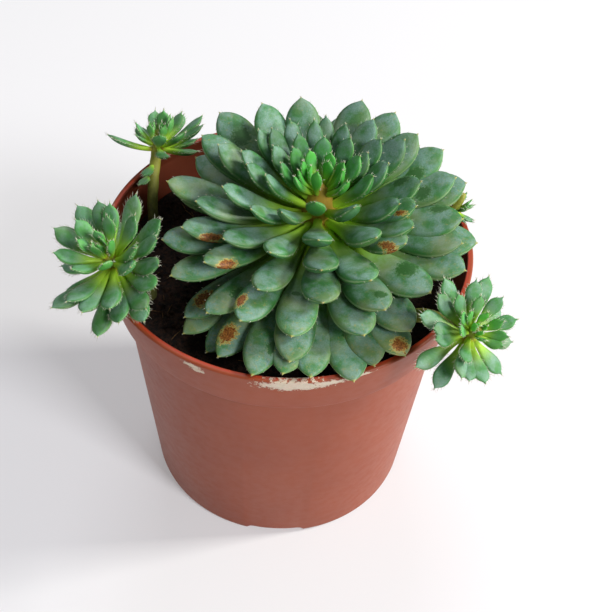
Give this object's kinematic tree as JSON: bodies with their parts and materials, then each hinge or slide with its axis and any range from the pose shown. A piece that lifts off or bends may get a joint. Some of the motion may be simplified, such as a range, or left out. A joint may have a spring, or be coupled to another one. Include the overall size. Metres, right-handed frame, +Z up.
{
  "type": "potted succulent",
  "caption": "Rosette succulent with small offsets on stems of their own, growing from soil in a round tapered nursery pot with a collar below its rim.",
  "frame": {"origin": "middle of the flat underside of the pot, on the pot's axis", "axes": "+Z up along the pot's axis, -Y towards the side that the picture is taken from, +X to that side's right"},
  "size_m": [0.1214, 0.1082, 0.1228],
  "materials": {
    "pot_plastic": "moulded, satin, terracotta coloured, scuffed, with a lime bloom at the rim",
    "potting_soil": "dark crumbly peat and bark",
    "rosette_leaf": "fleshy leaf with a pale waxy bloom, greener towards the heart",
    "offset_leaf": "young fleshy leaf, bright green, haired at the edge"
  },
  "bodies": {
    "root": {"pot": "pot_plastic", "soil": "potting_soil", "rosette": "rosette_leaf", "offset_left": "offset_leaf", "offset_right": "offset_leaf", "offset_back_left": "offset_leaf", "offset_back_right": "offset_leaf"}
  },
  "joints": []
}
